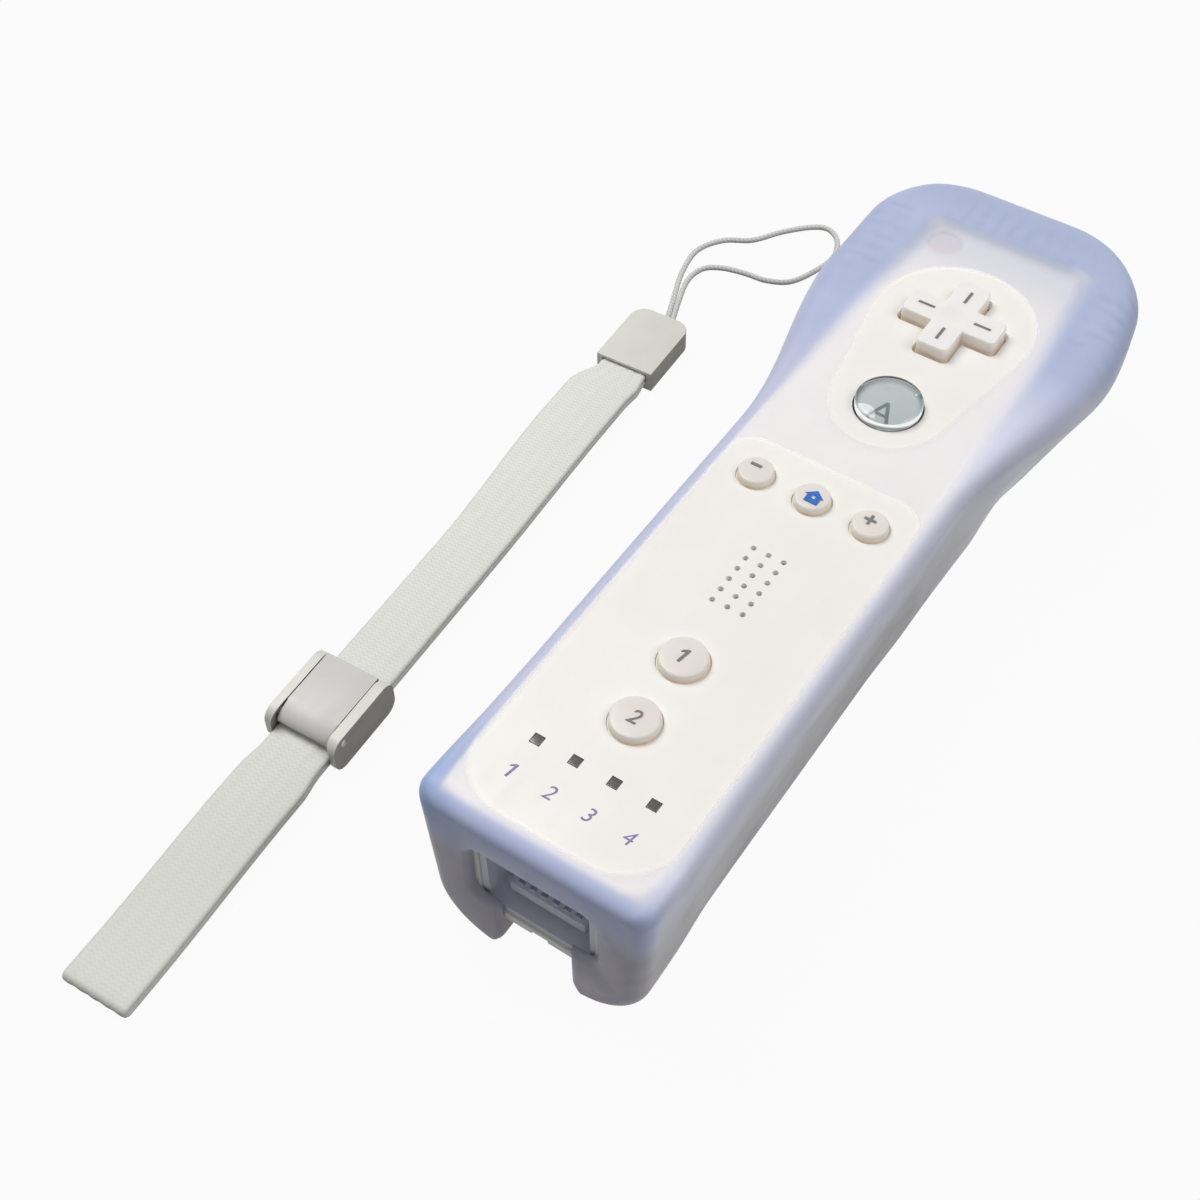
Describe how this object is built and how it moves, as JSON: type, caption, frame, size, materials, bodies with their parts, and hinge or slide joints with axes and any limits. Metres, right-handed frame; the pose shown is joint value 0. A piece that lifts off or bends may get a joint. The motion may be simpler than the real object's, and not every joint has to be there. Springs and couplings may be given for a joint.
{
  "type": "motion controller",
  "caption": "Wand-shaped handheld motion controller with direction pad, push buttons and trigger, in a soft translucent jacket, with a wrist strap and sliding lock laid beside it.",
  "frame": {"origin": "middle of the jacketed controller's footprint, on the surface it lies on", "axes": "+Z out of the button face, +Y to the camera end, +X to the right of someone who looks at the face with the camera end away from them"},
  "size_m": [0.0938, 0.211, 0.0346],
  "materials": {
    "silicone": "translucent satin silicone",
    "case_white": "satin moulded plastic",
    "smoked_window": "smoked gloss plastic",
    "port_dark": "dark moulded plastic",
    "contact_metal": "plated contacts",
    "button_white": "satin moulded plastic",
    "steel": "plain steel",
    "clear_cap": "clear moulded plastic",
    "button_grey": "grey-green plastic",
    "button_rose": "pale rose plastic",
    "board_green": "coated circuit board",
    "board_blue": "coated circuit board",
    "chip_black": "black moulded parts",
    "keypad_rubber": "grey elastomer",
    "cell_wrap": "wrapped dry cell",
    "button_red": "red plastic",
    "strap_fabric": "woven polyester",
    "strap_plastic": "satin moulded plastic"
  },
  "bodies": {
    "controller": {"jacket": "silicone", "upper_case": "case_white", "lower_case": "case_white", "battery_cover": "case_white", "ir_window": "smoked_window", "port_housing": "port_dark", "port_contacts": "contact_metal", "status_lights": "smoked_window", "trigger_pin": "steel", "trigger_spring": "steel", "main_board": "board_green", "board_chips": "chip_black", "motion_board": "board_blue", "board_screws": "steel", "keypad": "keypad_rubber", "speaker": "chip_black", "rumble_motor": "steel", "ir_camera": "chip_black", "dry_cells": "cell_wrap", "cell_springs": "contact_metal", "cell_contacts": "contact_metal", "case_screws": "steel", "strap_cord": "strap_fabric", "strap_clip": "strap_plastic", "strap_webbing": "strap_fabric"},
    "dpad_pivot": {"dpad_pivot": "steel"},
    "dpad": {"dpad": "button_white"},
    "a_button": {"a_button_cap": "clear_cap", "a_button_base": "button_grey"},
    "minus_button": {"minus_button": "button_white"},
    "home_button": {"home_button": "button_white"},
    "plus_button": {"plus_button": "button_white"},
    "one_button": {"one_button": "button_white"},
    "two_button": {"two_button": "button_white"},
    "power_button": {"power_button": "button_rose"},
    "sync_button": {"sync_button": "button_red"},
    "b_trigger": {"b_trigger": "button_white"},
    "rumble_weight": {"rumble_weight": "steel"},
    "strap_slider": {"slider_frame": "strap_plastic", "slider_pin": "steel"},
    "slider_lever": {"slider_lever": "strap_plastic"}
  },
  "joints": [
    {"name": "dpad_left_right", "type": "hinge", "parent": "controller", "child": "dpad_pivot", "pos_m": [0, 0.04369, 0.0265], "axis": [0, 1, 0], "range_deg": [-3.5, 3.5], "stiffness_Nm_per_rad": 0.12},
    {"name": "dpad_up_down", "type": "hinge", "parent": "dpad_pivot", "child": "dpad", "pos_m": [0, 0.04369, 0.0265], "axis": [1, 0, 0], "range_deg": [-3.5, 3.5], "stiffness_Nm_per_rad": 0.12},
    {"name": "a_press", "type": "slide", "parent": "controller", "child": "a_button", "axis": [0, 0, -1], "range_m": [0, 0.0009], "stiffness_N_per_m": 800, "springref_m": -0.0003},
    {"name": "minus_press", "type": "slide", "parent": "controller", "child": "minus_button", "axis": [0, 0, -1], "range_m": [0, 0.0009], "stiffness_N_per_m": 800, "springref_m": -0.0003},
    {"name": "home_press", "type": "slide", "parent": "controller", "child": "home_button", "axis": [0, 0, -1], "range_m": [0, 0.0009], "stiffness_N_per_m": 800, "springref_m": -0.0003},
    {"name": "plus_press", "type": "slide", "parent": "controller", "child": "plus_button", "axis": [0, 0, -1], "range_m": [0, 0.0009], "stiffness_N_per_m": 800, "springref_m": -0.0003},
    {"name": "one_press", "type": "slide", "parent": "controller", "child": "one_button", "axis": [0, 0, -1], "range_m": [0, 0.0009], "stiffness_N_per_m": 800, "springref_m": -0.0003},
    {"name": "two_press", "type": "slide", "parent": "controller", "child": "two_button", "axis": [0, 0, -1], "range_m": [0, 0.0009], "stiffness_N_per_m": 800, "springref_m": -0.0003},
    {"name": "power_press", "type": "slide", "parent": "controller", "child": "power_button", "axis": [0, 0, -1], "range_m": [0, 0.0006], "stiffness_N_per_m": 800, "springref_m": -0.0003},
    {"name": "sync_press", "type": "slide", "parent": "controller", "child": "sync_button", "axis": [0, 1, 0], "range_m": [0, 0.0006], "stiffness_N_per_m": 800, "springref_m": -0.0003},
    {"name": "b_pull", "type": "hinge", "parent": "controller", "child": "b_trigger", "pos_m": [0, 0.038, 0.0175], "axis": [-1, 0, 0], "range_deg": [0, 7], "stiffness_Nm_per_rad": 0.2, "springref_deg": -2.86},
    {"name": "rumble_spin", "type": "hinge", "parent": "controller", "child": "rumble_weight", "pos_m": [0.0065, 0.0005, 0.0168], "axis": [1, 0, 0], "continuous": true},
    {"name": "slider_slide", "type": "slide", "parent": "controller", "child": "strap_slider", "axis": [-0.0454, 0.999, 0], "range_m": [-0.002, 0.076]},
    {"name": "lever_flip", "type": "hinge", "parent": "strap_slider", "child": "slider_lever", "pos_m": [-0.05336, -0.0682, 0.0056], "axis": [0.999, 0.0454, 0], "range_deg": [0, 60]}
  ]
}
